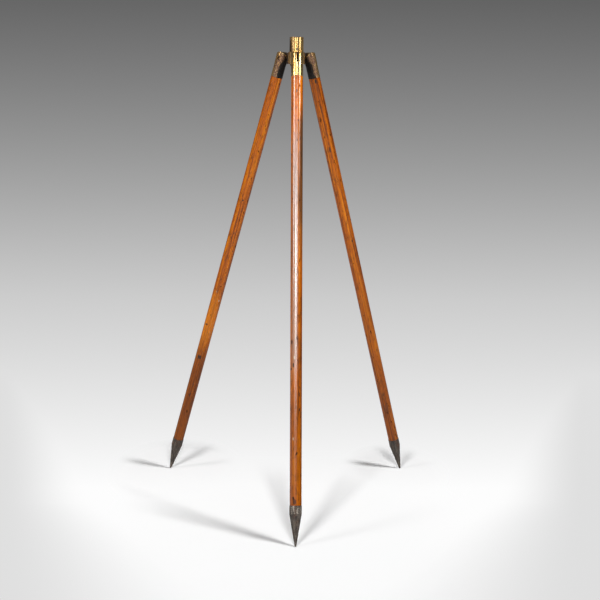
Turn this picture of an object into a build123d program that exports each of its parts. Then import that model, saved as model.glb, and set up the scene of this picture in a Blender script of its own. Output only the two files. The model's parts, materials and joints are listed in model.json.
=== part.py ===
from build123d import *
import os
from math import cos, radians, sin

# A folding field tripod: three round wooden poles hinged to a brass head that carries an
# instrument socket. Lengths are in millimetres and angles in degrees. The origin is the centre
# of the socket's mouth, +Z points up and the front leg points to -Y. The legs stand spread out,
# against their stops.

# Stance
LEG_AZIMUTHS = {"front": -90.0, "right": 30.0, "left": 150.0}
SPLAY = 16.5  # each leg's angle from the vertical
PIVOT_RADIUS = 45.0  # hinge axis from the head's axis
LEG_REACH = 1290.0  # hinge axis to the spike's point

# Clearances
GLUE_FIT = 0.05  # radial gap of tenons, pins and threads that don't turn
RUNNING_FIT = 0.05  # radial gap of the hinge screw in the hub's tongue
SIDE_PLAY = 0.1  # gap on each side of a tongue in its slot
STOP_GAP = 0.1  # gap between a tongue's toe and the slot's floor at full spread

# Instrument socket
SOCKET_RADIUS = 19.05
SOCKET_WALL = 4.0
SOCKET_HEIGHT = 39.5  # the tube's mouth above the hub
SOCKET_FLOOR = 4.0
SOCKET_EDGE = 0.6
STEM_RADIUS = 9.5
STEM_POINT = 1.0  # how far the stem passes through its nut

# Set screw
SET_SCREW_RADIUS = 2.4
SET_SCREW_HEIGHT = 7.4  # above the hub
SET_SCREW_INSET = 0.2
SET_SCREW_SLOT = 0.9
SET_SCREW_SLOT_DEPTH = 1.2

# Hub
HUB_RADIUS = 23.0
HUB_RISE = 17.0  # hub's top above the hinge axes
HUB_FALL = 15.5  # hub's underside below the hinge axes
HUB_EDGE = 1.2

# Locknut
NUT_RADIUS = 16.5
NUT_THICKNESS = 5.5
NUT_EDGE = 1.5
SPANNER_HOLE_RADIUS = 1.6
SPANNER_HOLE_DEPTH = 3.5

# Tongues
TONGUE_THICKNESS = 4.0
TONGUE_HALF_HEIGHT = 15.0
TONGUE_NOSE = 10.0  # how far a tongue reaches past the hinge axis
TONGUE_ROUND = 10.0
TONGUE_ROOT = 5.0  # how far a tongue runs into the hub

# Hinge screw
SCREW_RADIUS = 3.175
SCREW_HEAD_RADIUS = 4.8
SCREW_HEAD_HEIGHT = 3.6
SCREW_HEAD_EDGE = 0.5
SCREW_SLOT = 1.2
SCREW_SLOT_DEPTH = 1.6
SCREW_INSET = 0.5  # the screw's end below the cap's surface
HEAD_SEAT = 8.0  # the head's seat from the leg's axis
HEAD_PLAY = 0.3  # radial gap round the head

# Hinge cap
KNUCKLE_RADIUS = 16.6
EAR_RADIUS = 17.5  # the ears' round about the hinge axis
KNUCKLE_FALL = 16.5  # the slot's floor and the knuckle's end below the hinge axis
SLOT_FLOOR = 6.0  # metal between the slot and the pole's socket
SHOULDER_FALL = 10.0  # the ears' inner shoulders start this far below their tops
SHOULDER_REACH = 10.0  # and run out to this far from the slot's middle
SHOULDER_BULGE = 1.2
FERRULE_RADIUS = 16.15
CAP_FALL = 52.5  # the ferrule's lower edge below the hinge axis
CAP_EDGE = 0.4
CAP_WALL = 3.0
CAP_PIN_RADIUS = 1.6

# Pole
POLE_TOP_RADIUS = 15.9
POLE_FOOT_RADIUS = 15.4
TENON_END_GAP = 1.0

# Spike
SPIKE_LENGTH = 105.0
COLLAR_LENGTH = 22.5
COLLAR_RADIUS = 16.2
COLLAR_WALL = 3.4
COLLAR_EDGE = 0.6
SOCKET_SHORTFALL = 1.5  # the collar's socket stops short of the cone
SPIKE_TIP_RADIUS = 2.2
SPIKE_TIP_ROUND = 1.6
NAIL_RADIUS = 1.6
NAIL_DEPTH = 11.0
NAIL_PROUD = 0.7
NAIL_DOME = 0.6

# Derived
SOCKET_BORE = SOCKET_RADIUS - SOCKET_WALL
PIVOT_DROP = SOCKET_HEIGHT + HUB_RISE
HUB_HEIGHT = HUB_RISE + HUB_FALL
STEM_LENGTH = HUB_HEIGHT + NUT_THICKNESS + STEM_POINT
SLOT_WIDTH = TONGUE_THICKNESS + 2 * SIDE_PLAY
CAP_BORE = FERRULE_RADIUS - CAP_WALL
CAP_SOCKET_FALL = KNUCKLE_FALL + SLOT_FLOOR
CAP_PIN_FALL = (CAP_SOCKET_FALL + CAP_FALL) / 2
COLLAR_FALL = LEG_REACH - SPIKE_LENGTH
CONE_FALL = COLLAR_FALL + COLLAR_LENGTH
COLLAR_BORE = COLLAR_RADIUS - COLLAR_WALL
COLLAR_SOCKET_FALL = CONE_FALL - SOCKET_SHORTFALL
NAIL_FALL = (COLLAR_FALL + COLLAR_SOCKET_FALL) / 2
OVERCUT = 2.0  # how far a cutting shape runs past what it cuts


def leg_frame(azimuth):
    """Plane at a hinge: X points out of the leg, Y along the hinge screw and Z up the leg."""
    outward = Vector(cos(radians(azimuth)), sin(radians(azimuth)), 0)
    upward = Vector(0, 0, 1)
    return Plane(
        origin=outward * PIVOT_RADIUS - upward * PIVOT_DROP,
        x_dir=outward * cos(radians(SPLAY)) + upward * sin(radians(SPLAY)),
        z_dir=upward * cos(radians(SPLAY)) - outward * sin(radians(SPLAY)),
    )


def side_plane(frame):
    """The leg's own upright section: X points out of the leg and Y up it."""
    return Plane(origin=frame.origin, x_dir=frame.x_dir, z_dir=-frame.y_dir)


def cross_plane(frame, fall=0.0):
    """Plane square to the hinge screw's direction, a given way down the leg."""
    return Plane(origin=frame.origin - frame.z_dir * fall, x_dir=frame.x_dir, z_dir=frame.y_dir)


def shoulder_plane(frame):
    """Upright plane through a hinge that faces level outwards, with X along the hinge screw."""
    outward = frame.x_dir * cos(radians(SPLAY)) - frame.z_dir * sin(radians(SPLAY))
    return Plane(origin=frame.origin, x_dir=frame.y_dir, z_dir=outward)


def hub_section(azimuth):
    """The hub's upright section through one hinge: X points outwards and Y up, from the head's axis."""
    outward = Vector(cos(radians(azimuth)), sin(radians(azimuth)), 0)
    return Plane(origin=(0, 0, -PIVOT_DROP), x_dir=outward, z_dir=outward.cross(Vector(0, 0, 1)))


def save(piece, name):
    """Label a finished piece and write it as one STEP file."""
    piece.label = name
    export_step(piece, f"parts/{name}.step")


def make_socket_tube():
    """Tube with a floor, a threaded stem below it and a tapped hole in front."""
    with BuildPart() as socket_tube:
        with BuildSketch(Plane.XY.offset(-SOCKET_HEIGHT)):
            Circle(SOCKET_RADIUS)
        extrude(amount=SOCKET_HEIGHT)
        chamfer(socket_tube.edges().group_by(Axis.Z)[-1], SOCKET_EDGE)
        Hole(SOCKET_BORE, SOCKET_HEIGHT - SOCKET_FLOOR)
        with BuildSketch(Plane.XY.offset(-SOCKET_HEIGHT)):
            Circle(STEM_RADIUS)
        extrude(amount=-STEM_LENGTH)
        chamfer(socket_tube.edges().group_by(Axis.Z)[0], SOCKET_EDGE)
        with BuildSketch(set_screw_plane()):
            Circle(SET_SCREW_RADIUS + GLUE_FIT)
        extrude(amount=-(SOCKET_WALL + OVERCUT), mode=Mode.SUBTRACT)
    return socket_tube.part


def set_screw_plane():
    """Plane on the front of the socket tube, facing out, centred on the set screw."""
    height = -SOCKET_HEIGHT + SET_SCREW_HEIGHT
    return Plane(origin=(0, -SOCKET_RADIUS, height), x_dir=(1, 0, 0), z_dir=(0, -1, 0))


def make_set_screw():
    """Slotted grub screw as long as the tube's wall is thick, clear of the bore."""
    face = set_screw_plane().offset(-SET_SCREW_INSET)
    with BuildPart() as set_screw:
        with BuildSketch(face):
            Circle(SET_SCREW_RADIUS)
        extrude(amount=-(SOCKET_WALL - 2 * SET_SCREW_INSET))
        with BuildSketch(face):
            Rectangle(2 * SET_SCREW_RADIUS + OVERCUT, SET_SCREW_SLOT)
        extrude(amount=-SET_SCREW_SLOT_DEPTH, mode=Mode.SUBTRACT)
    return set_screw.part


def make_hub():
    """Round hub, bored for the stem, with one drilled tongue for each leg."""
    toe_reach = KNUCKLE_FALL - STOP_GAP
    splay_sin = sin(radians(SPLAY))
    splay_cos = cos(radians(SPLAY))
    # The toe's flat lies along the slot's floor when the leg is fully out.
    flat_start = (toe_reach - TONGUE_HALF_HEIGHT * splay_cos) / splay_sin
    flat_end = (toe_reach - TONGUE_NOSE * splay_sin) / splay_cos
    nose = PIVOT_RADIUS + TONGUE_NOSE
    root = HUB_RADIUS - TONGUE_ROOT
    outline = [
        (root, -TONGUE_HALF_HEIGHT),
        (PIVOT_RADIUS + flat_start, -TONGUE_HALF_HEIGHT),
        (nose, -flat_end),
        (nose, TONGUE_HALF_HEIGHT),
        (root, TONGUE_HALF_HEIGHT),
    ]
    with BuildPart() as hub:
        with BuildSketch(Plane.XY.offset(-SOCKET_HEIGHT)):
            Circle(HUB_RADIUS)
            Circle(STEM_RADIUS + GLUE_FIT, mode=Mode.SUBTRACT)
        extrude(amount=-HUB_HEIGHT)
        outer_edges = hub.edges().filter_by(GeomType.CIRCLE).group_by(SortBy.RADIUS)[-1]
        chamfer(outer_edges, HUB_EDGE)
        for azimuth in LEG_AZIMUTHS.values():
            with BuildSketch(hub_section(azimuth)) as tongue:
                with BuildLine():
                    Polyline(*outline, close=True)
                make_face()
                fillet(tongue.vertices().group_by(Axis.X)[-1].sort_by(Axis.Y)[-1], TONGUE_ROUND)
            extrude(amount=TONGUE_THICKNESS / 2, both=True)
            with BuildSketch(hub_section(azimuth)):
                with Locations((PIVOT_RADIUS, 0)):
                    Circle(SCREW_RADIUS + RUNNING_FIT)
            extrude(amount=TONGUE_THICKNESS, both=True, mode=Mode.SUBTRACT)
    return hub.part


def make_locknut():
    """Round nut under the hub with two holes for a pin spanner."""
    top = Plane.XY.offset(-PIVOT_DROP - HUB_FALL)
    underside = top.offset(-NUT_THICKNESS)
    with BuildPart() as locknut:
        with BuildSketch(top):
            Circle(NUT_RADIUS)
        extrude(amount=-NUT_THICKNESS)
        chamfer(locknut.edges().group_by(Axis.Z)[0], NUT_EDGE)
        with BuildSketch(top):
            Circle(STEM_RADIUS + GLUE_FIT)
        extrude(amount=-NUT_THICKNESS, mode=Mode.SUBTRACT)
        with BuildSketch(underside):
            with PolarLocations((STEM_RADIUS + NUT_RADIUS) / 2, 2):
                Circle(SPANNER_HOLE_RADIUS)
        extrude(amount=SPANNER_HOLE_DEPTH, mode=Mode.SUBTRACT)
    return locknut.part


def make_hinge_cap(frame):
    """Cap with a slotted knuckle, rounded ears with sloping shoulders and a ferrule bored for the tenon."""
    pin_plane = cross_plane(frame)
    shoulder_low = (SLOT_WIDTH / 2, EAR_RADIUS - SHOULDER_FALL)
    shoulder_high = (SHOULDER_REACH, EAR_RADIUS + OVERCUT)
    shoulder_middle = (
        (shoulder_low[0] + shoulder_high[0]) / 2 - SHOULDER_BULGE,
        (shoulder_low[1] + shoulder_high[1]) / 2 + SHOULDER_BULGE,
    )
    with BuildPart() as hinge_cap:
        with BuildSketch(frame.offset(-CAP_FALL)):
            Circle(FERRULE_RADIUS)
        extrude(amount=CAP_FALL - KNUCKLE_FALL)
        ferrule_rims = hinge_cap.edges().filter_by(GeomType.CIRCLE)
        chamfer(ferrule_rims.sort_by(Axis(frame.origin, frame.z_dir))[0], CAP_EDGE)
        with BuildSketch(frame.offset(-KNUCKLE_FALL)):
            Circle(KNUCKLE_RADIUS)
        extrude(amount=KNUCKLE_FALL + EAR_RADIUS)
        with BuildSketch(side_plane(frame)):
            with Locations((0, EAR_RADIUS)):
                Rectangle(2 * (KNUCKLE_RADIUS + OVERCUT), 2 * EAR_RADIUS)
            Circle(EAR_RADIUS, mode=Mode.SUBTRACT)
        extrude(amount=KNUCKLE_RADIUS + OVERCUT, both=True, mode=Mode.SUBTRACT)
        with BuildSketch(frame.offset(-KNUCKLE_FALL)):
            Rectangle(2 * (KNUCKLE_RADIUS + OVERCUT), SLOT_WIDTH)
        extrude(amount=KNUCKLE_FALL + EAR_RADIUS + OVERCUT, mode=Mode.SUBTRACT)
        with BuildSketch(shoulder_plane(frame)):
            with BuildLine():
                ThreePointArc(shoulder_low, shoulder_middle, shoulder_high)
                Polyline(shoulder_high, (0, shoulder_high[1]), (0, shoulder_low[1]), shoulder_low)
            make_face()
            mirror(about=Plane.YZ)
        extrude(amount=KNUCKLE_RADIUS + OVERCUT, both=True, mode=Mode.SUBTRACT)
        with BuildSketch(pin_plane):
            Circle(SCREW_RADIUS + GLUE_FIT)
        extrude(amount=KNUCKLE_RADIUS + OVERCUT, both=True, mode=Mode.SUBTRACT)
        with BuildSketch(pin_plane.offset(HEAD_SEAT)):
            Circle(SCREW_HEAD_RADIUS + HEAD_PLAY)
        extrude(amount=KNUCKLE_RADIUS, mode=Mode.SUBTRACT)
        with BuildSketch(frame.offset(-CAP_FALL)):
            Circle(CAP_BORE)
        extrude(amount=CAP_FALL - CAP_SOCKET_FALL, mode=Mode.SUBTRACT)
        with BuildSketch(cross_plane(frame, CAP_PIN_FALL)):
            Circle(CAP_PIN_RADIUS + GLUE_FIT)
        extrude(amount=FERRULE_RADIUS + OVERCUT, both=True, mode=Mode.SUBTRACT)
    return hinge_cap.part


def make_hinge_screw(frame):
    """Pivot screw with a slotted cheese head sunk in one ear and its end in the other."""
    pin_plane = cross_plane(frame)
    head_top = pin_plane.offset(HEAD_SEAT + SCREW_HEAD_HEIGHT)
    far_end = KNUCKLE_RADIUS - SCREW_INSET
    with BuildPart() as hinge_screw:
        with BuildSketch(pin_plane.offset(HEAD_SEAT)):
            Circle(SCREW_HEAD_RADIUS)
        extrude(amount=SCREW_HEAD_HEIGHT)
        head_rims = hinge_screw.edges().filter_by(GeomType.CIRCLE)
        chamfer(head_rims.sort_by(Axis(frame.origin, frame.y_dir))[-1], SCREW_HEAD_EDGE)
        with BuildSketch(pin_plane.offset(-far_end)):
            Circle(SCREW_RADIUS)
        extrude(amount=far_end + HEAD_SEAT)
        with BuildSketch(head_top):
            Rectangle(2 * SCREW_HEAD_RADIUS + OVERCUT, SCREW_SLOT)
        extrude(amount=-SCREW_SLOT_DEPTH, mode=Mode.SUBTRACT)
    return hinge_screw.part


def make_cap_pin(frame):
    """Cross pin through the ferrule and the pole's tenon, filed flush with the ferrule."""
    with BuildPart() as cap_pin:
        with BuildSketch(cross_plane(frame, CAP_PIN_FALL)):
            Circle(CAP_PIN_RADIUS)
        extrude(amount=FERRULE_RADIUS, both=True)
        with BuildSketch(frame.offset(-CAP_FALL)):
            Circle(FERRULE_RADIUS)
        extrude(amount=CAP_FALL, mode=Mode.INTERSECT)
    return cap_pin.part


def make_pole(frame):
    """Turned pole, slightly tapered, with a drilled tenon at each end."""
    tenon_top = CAP_SOCKET_FALL + TENON_END_GAP
    tenon_foot = COLLAR_SOCKET_FALL - TENON_END_GAP
    outline = [
        (0, -tenon_top),
        (CAP_BORE - GLUE_FIT, -tenon_top),
        (CAP_BORE - GLUE_FIT, -CAP_FALL),
        (POLE_TOP_RADIUS, -CAP_FALL),
        (POLE_FOOT_RADIUS, -COLLAR_FALL),
        (COLLAR_BORE - GLUE_FIT, -COLLAR_FALL),
        (COLLAR_BORE - GLUE_FIT, -tenon_foot),
        (0, -tenon_foot),
    ]
    with BuildPart() as pole:
        with BuildSketch(side_plane(frame)):
            with BuildLine():
                Polyline(*outline, close=True)
            make_face()
        revolve(axis=Axis(frame.origin, frame.z_dir))
        with BuildSketch(cross_plane(frame, CAP_PIN_FALL)):
            Circle(CAP_PIN_RADIUS + GLUE_FIT)
        extrude(amount=CAP_BORE, both=True, mode=Mode.SUBTRACT)
        with BuildSketch(nail_plane(frame)):
            Circle(NAIL_RADIUS + GLUE_FIT)
        extrude(amount=-(NAIL_DEPTH + OVERCUT), mode=Mode.SUBTRACT)
    return pole.part


def nail_plane(frame):
    """Plane on the outer side of the spike's collar, facing out, centred on the nail."""
    surface = frame.origin - frame.z_dir * NAIL_FALL + frame.x_dir * COLLAR_RADIUS
    return Plane(origin=surface, x_dir=frame.y_dir, z_dir=frame.x_dir)


def make_spike(frame):
    """Forged spike: a round collar over the pole's tenon, then a straight cone to a blunt point."""
    leg_axis = Axis(frame.origin, frame.z_dir)
    outline = [
        (0, -COLLAR_SOCKET_FALL),
        (COLLAR_BORE, -COLLAR_SOCKET_FALL),
        (COLLAR_BORE, -COLLAR_FALL),
        (COLLAR_RADIUS, -COLLAR_FALL),
        (COLLAR_RADIUS, -CONE_FALL),
        (SPIKE_TIP_RADIUS, -LEG_REACH),
        (0, -LEG_REACH),
    ]
    with BuildPart() as spike:
        with BuildSketch(side_plane(frame)):
            with BuildLine():
                Polyline(*outline, close=True)
            make_face()
        revolve(axis=leg_axis)
        rims = spike.edges().filter_by(GeomType.CIRCLE)
        fillet(rims.sort_by(leg_axis)[0], SPIKE_TIP_ROUND)
        rims = spike.edges().filter_by(GeomType.CIRCLE).group_by(leg_axis)[-1]
        chamfer(rims.sort_by(SortBy.RADIUS)[-1], COLLAR_EDGE)
        with BuildSketch(nail_plane(frame)):
            Circle(NAIL_RADIUS + GLUE_FIT)
        extrude(amount=OVERCUT, both=True, mode=Mode.SUBTRACT)
        with BuildSketch(nail_plane(frame)):
            Circle(NAIL_RADIUS + GLUE_FIT)
        extrude(amount=-NAIL_DEPTH, mode=Mode.SUBTRACT)
    return spike.part


def make_spike_nail(frame):
    """Nail through the collar into the pole, with a low domed head."""
    head = nail_plane(frame).offset(NAIL_PROUD)
    with BuildPart() as spike_nail:
        with BuildSketch(head):
            Circle(NAIL_RADIUS)
        extrude(amount=-(NAIL_DEPTH + NAIL_PROUD))
        rims = spike_nail.edges().filter_by(GeomType.CIRCLE)
        fillet(rims.sort_by(Axis(frame.origin, frame.x_dir))[-1], NAIL_DOME)
    return spike_nail.part


LEG_PIECES = {
    "hinge_cap": make_hinge_cap,
    "hinge_screw": make_hinge_screw,
    "cap_pin": make_cap_pin,
    "pole": make_pole,
    "spike": make_spike,
    "spike_nail": make_spike_nail,
}

os.makedirs("parts", exist_ok=True)
save(make_socket_tube(), "socket_tube")
save(make_set_screw(), "socket_set_screw")
save(make_hub(), "hub")
save(make_locknut(), "hub_locknut")
for leg_name, leg_azimuth in LEG_AZIMUTHS.items():
    for piece_name, make_piece in LEG_PIECES.items():
        save(make_piece(leg_frame(leg_azimuth)), f"{piece_name}_{leg_name}")
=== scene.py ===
"""Looks of a folding field tripod: varnished poles, a brass head and forged iron spikes.

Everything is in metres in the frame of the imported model: the origin is the centre of the
instrument socket's mouth, +Z points up and the front leg points to -Y.
"""
import json
import logging
import math
from collections.abc import Callable
from dataclasses import dataclass, field
from enum import Enum
from functools import reduce

import bmesh
import bpy
from mathutils import Matrix, Vector, noise


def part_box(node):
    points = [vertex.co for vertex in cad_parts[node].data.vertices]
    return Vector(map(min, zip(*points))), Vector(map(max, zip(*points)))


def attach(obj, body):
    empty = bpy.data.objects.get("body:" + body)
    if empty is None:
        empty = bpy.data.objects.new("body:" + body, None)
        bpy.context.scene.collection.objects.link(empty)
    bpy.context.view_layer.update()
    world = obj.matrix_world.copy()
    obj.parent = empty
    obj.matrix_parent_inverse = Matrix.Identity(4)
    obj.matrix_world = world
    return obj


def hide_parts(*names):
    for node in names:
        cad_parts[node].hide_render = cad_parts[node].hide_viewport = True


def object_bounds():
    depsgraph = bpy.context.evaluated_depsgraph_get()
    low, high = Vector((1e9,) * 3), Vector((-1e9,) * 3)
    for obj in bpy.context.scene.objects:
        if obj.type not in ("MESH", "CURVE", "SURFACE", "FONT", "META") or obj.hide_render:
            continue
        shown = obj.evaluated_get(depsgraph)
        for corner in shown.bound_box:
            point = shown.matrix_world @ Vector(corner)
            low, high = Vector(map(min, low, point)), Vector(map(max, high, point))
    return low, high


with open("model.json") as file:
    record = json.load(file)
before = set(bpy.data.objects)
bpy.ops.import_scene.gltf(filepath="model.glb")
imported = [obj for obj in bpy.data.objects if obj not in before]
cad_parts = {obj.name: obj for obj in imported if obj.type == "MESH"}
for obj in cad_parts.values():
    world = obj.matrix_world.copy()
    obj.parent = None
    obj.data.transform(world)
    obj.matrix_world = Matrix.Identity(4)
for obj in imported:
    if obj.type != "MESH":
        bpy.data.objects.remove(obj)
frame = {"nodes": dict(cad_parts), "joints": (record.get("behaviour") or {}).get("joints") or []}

LOG = logging.getLogger("field_tripod")
CAD_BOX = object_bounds()
FLOOR_Z = CAD_BOX[0].z
MM = 0.001
SHARP = math.radians(32)
FLAT = math.radians(0.6)
WELD = 0.001 * MM

Colour = tuple[float, float, float]
Triple = tuple[float, float, float]
Band = tuple[float, float]


# ---- Shader sums ----


def math_node(operation: str, swapped: bool = False) -> Callable:
    """Make a method that joins a signal and another term, a signal or a number, with a Math node.

    Args:
        operation: The node's operation.
        swapped: Whether the other term comes first.

    Returns:
        The method.
    """

    def join(self: "Signal", other: "Signal | float") -> "Signal":
        terms = (other, self) if swapped else (self, other)
        return self.kit.add("ShaderNodeMath", {"operation": operation}, dict(enumerate(terms)))

    return join


class Signal:
    """A node's output that takes part in Python sums, each of which adds a Math node.

    `at_least` gives the larger of two terms and `at_most` the smaller.
    """

    __add__ = math_node("ADD")
    __radd__ = math_node("ADD", swapped=True)
    __sub__ = math_node("SUBTRACT")
    __rsub__ = math_node("SUBTRACT", swapped=True)
    __mul__ = math_node("MULTIPLY")
    __rmul__ = math_node("MULTIPLY", swapped=True)
    __truediv__ = math_node("DIVIDE")
    __rtruediv__ = math_node("DIVIDE", swapped=True)
    __pow__ = math_node("POWER")
    at_least = math_node("MAXIMUM")
    at_most = math_node("MINIMUM")

    def __init__(self, kit: "NodeKit", socket: bpy.types.NodeSocket) -> None:
        self.kit = kit
        self.socket = socket

    def root(self) -> "Signal":
        """Square root."""
        return self.kit.add("ShaderNodeMath", {"operation": "SQRT"}, {0: self})

    def rise(self, start: float, end: float) -> "Signal":
        """Go smoothly from 0 at one value to 1 at another, in either direction.

        Args:
            start: Value that gives 0.
            end: Value that gives 1.

        Returns:
            The smooth step.
        """
        low, high = min(start, end), max(start, end)
        step = self.kit.add(
            "ShaderNodeMapRange",
            {"interpolation_type": "SMOOTHSTEP"},
            {"Value": self, "From Min": low, "From Max": high},
        )
        return step if start < end else 1 - step


class NodeKit:
    """The node tree of one material or of the world."""

    OBJECT_PLACE = 3
    MIX_COLOURS = (6, 7)
    MIX_RESULT = 2

    def __init__(self, owner: bpy.types.Material | bpy.types.World) -> None:
        """Turn the nodes of a material or world on and clear them."""
        owner.use_nodes = True
        self.tree = owner.node_tree
        self.tree.nodes.clear()

    def add(
        self, kind: str, settings: dict | None = None, sockets: dict | None = None, output: int = 0
    ) -> Signal:
        """Add one node, its settings first and then the values or links of its sockets.

        Args:
            kind: The node's type.
            settings: The node's own properties; "stops" holds a ramp's (place, colour) pairs.
            sockets: Values or signals by socket name or number.
            output: Number of the output that is handed back.

        Returns:
            The chosen output.
        """
        node = self.tree.nodes.new(kind)
        for name, value in (settings or {}).items():
            if name == "stops":
                self._set_stops(node.color_ramp.elements, value)
            else:
                setattr(node, name, value)
        for key, value in (sockets or {}).items():
            if isinstance(value, Signal):
                self.tree.links.new(value.socket, node.inputs[key])
            else:
                node.inputs[key].default_value = value
        return Signal(self, node.outputs[output])

    @staticmethod
    def _set_stops(elements: bpy.types.ColorRampElements, stops: list[tuple[float, Colour]]) -> None:
        """Give a ramp its stops."""
        while len(elements) < len(stops):
            elements.new(1.0)
        for element, (place, colour) in zip(elements, stops):
            element.position = place
            element.color = (*colour, 1.0)

    def finish(self, shader: Signal, target: str = "ShaderNodeOutputMaterial") -> None:
        """Link a shader to the tree's output."""
        out = self.tree.nodes.new(target)
        self.tree.links.new(shader.socket, out.inputs["Surface"])

    def place(self, matrix: Matrix) -> Signal:
        """Object coordinates, centred and turned into a piece's own frame.

        Args:
            matrix: The piece's frame: a rotation and a place.

        Returns:
            The coordinates in that frame, in metres.
        """
        source = self.add("ShaderNodeTexCoord", output=self.OBJECT_PLACE)
        settings = {"vector_type": "TEXTURE"}
        sockets = {"Vector": source, "Location": matrix.to_translation(), "Rotation": matrix.to_euler()}
        return self.add("ShaderNodeMapping", settings, sockets)

    def stretch(self, vector: Signal, factors: Triple, shift: Triple) -> Signal:
        """Multiply a vector by three factors and move it."""
        settings = {"operation": "MULTIPLY_ADD"}
        return self.add("ShaderNodeVectorMath", settings, {0: vector, 1: factors, 2: shift})

    def split(self, vector: Signal) -> tuple[Signal, Signal, Signal]:
        """The three numbers of a vector."""
        first = self.add("ShaderNodeSeparateXYZ", sockets={0: vector})
        outputs = first.socket.node.outputs
        return first, Signal(self, outputs[1]), Signal(self, outputs[2])

    def grey(self, level: Signal) -> Signal:
        """A grey with the same level in red, green and blue."""
        return self.add("ShaderNodeCombineColor", {}, {0: level, 1: level, 2: level})

    def rays(self, *kinds: str) -> list[Signal]:
        """Whether a ray is of each of the kinds, named as the Light Path node names them."""
        outputs = self.add("ShaderNodeLightPath").socket.node.outputs
        return [Signal(self, outputs[kind]) for kind in kinds]

    def blend(self, factor: Signal | float, first: Signal | Colour, second: Signal | Colour) -> Signal:
        """Mix two colours.

        Args:
            factor: 0 gives the first colour and 1 the second.
            first: A colour or its signal.
            second: A colour or its signal.

        Returns:
            The mixed colour.
        """
        pair = [c if isinstance(c, Signal) else (*c, 1.0) for c in (first, second)]
        sockets = {0: factor, **dict(zip(self.MIX_COLOURS, pair))}
        return self.add("ShaderNodeMix", {"data_type": "RGBA"}, sockets, self.MIX_RESULT)

    def bump(self, height: Signal, depth: float, below: Signal | None = None) -> Signal:
        """Turn a height into a surface normal.

        Args:
            height: Height from 0 to 1.
            depth: Depth of a whole step in metres.
            below: A coarser bump that this one lies on.

        Returns:
            The normal.
        """
        sockets = {"Height": height, "Distance": depth, "Strength": 1.0}
        if below is not None:
            sockets["Normal"] = below
        return self.add("ShaderNodeBump", {}, sockets)

    def surface(self, **sockets: Signal | float | tuple) -> Signal:
        """One Principled surface, its sockets named with underscores."""
        named = {name.replace("_", " "): value for name, value in sockets.items()}
        return self.add("ShaderNodeBsdfPrincipled", {}, named)


def new_material(name: str) -> tuple[bpy.types.Material, NodeKit]:
    """Start a material and its node kit."""
    material = bpy.data.materials.new(name)
    return material, NodeKit(material)


# ---- Finishes ----


@dataclass(frozen=True)
class Cloud:
    """One soft noise: its cells per metre along X, Y and Z, its finer layers and its bend."""

    cells: Triple
    detail: float
    roughness: float
    twist: float = 0.0

    def over(self, kit: NodeKit, spot: Signal, shift: Triple = (0, 0, 0)) -> Signal:
        """Lay the noise over a piece; it is centred on one half and moved by `shift` cells."""
        sockets = {
            "Vector": kit.stretch(spot, self.cells, shift),
            "Scale": 1.0,
            "Detail": self.detail,
            "Roughness": self.roughness,
            "Distortion": self.twist,
        }
        return kit.add("ShaderNodeTexNoise", {}, sockets)


@dataclass(frozen=True)
class Flecks:
    """Flecks that show where a noise passes from one value to another."""

    cloud: Cloud
    band: Band
    strength: float = 1.0

    def over(self, kit: NodeKit, spot: Signal, shift: Triple) -> Signal:
        """Strength of the flecks, from 0 where there are none."""
        return self.cloud.over(kit, spot, shift).rise(*self.band) * self.strength


class Mark(Enum):
    """Kinds of knock in the varnish."""

    DING = "ding"
    CHIP = "chip"
    STAIN = "stain"
    FADED = "faded"


@dataclass(frozen=True)
class Knock:
    """One knock in a pole, placed by its turn from the leg's outer side and its place along the leg."""

    kind: Mark
    turn: float
    along: float
    width: float
    length: float
    ragged: float = 2.4
    edge: Band = (1.15, 0.75)

    def cover(self, kit: NodeKit, spot: Signal, rough: Signal, radius: float) -> Signal:
        """Where the knock lies.

        Args:
            kit: The pole's node kit.
            spot: Coordinates in the leg's frame.
            rough: Fine noise that breaks the knock's edge.
            radius: The pole's radius.

        Returns:
            1 on the knock and 0 away from it.
        """
        turn = math.radians(self.turn)
        centre = (radius * math.cos(turn), radius * math.sin(turn), self.along)
        factors = (1 / self.width, 1 / self.width, 1 / self.length)
        shift = tuple(-c * f for c, f in zip(centre, factors))
        offset = kit.stretch(spot, factors, shift)
        away = kit.add("ShaderNodeVectorMath", {"operation": "LENGTH"}, {0: offset}, output=1)
        return (away + (rough - 0.5) * self.ragged).rise(*self.edge)


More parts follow.
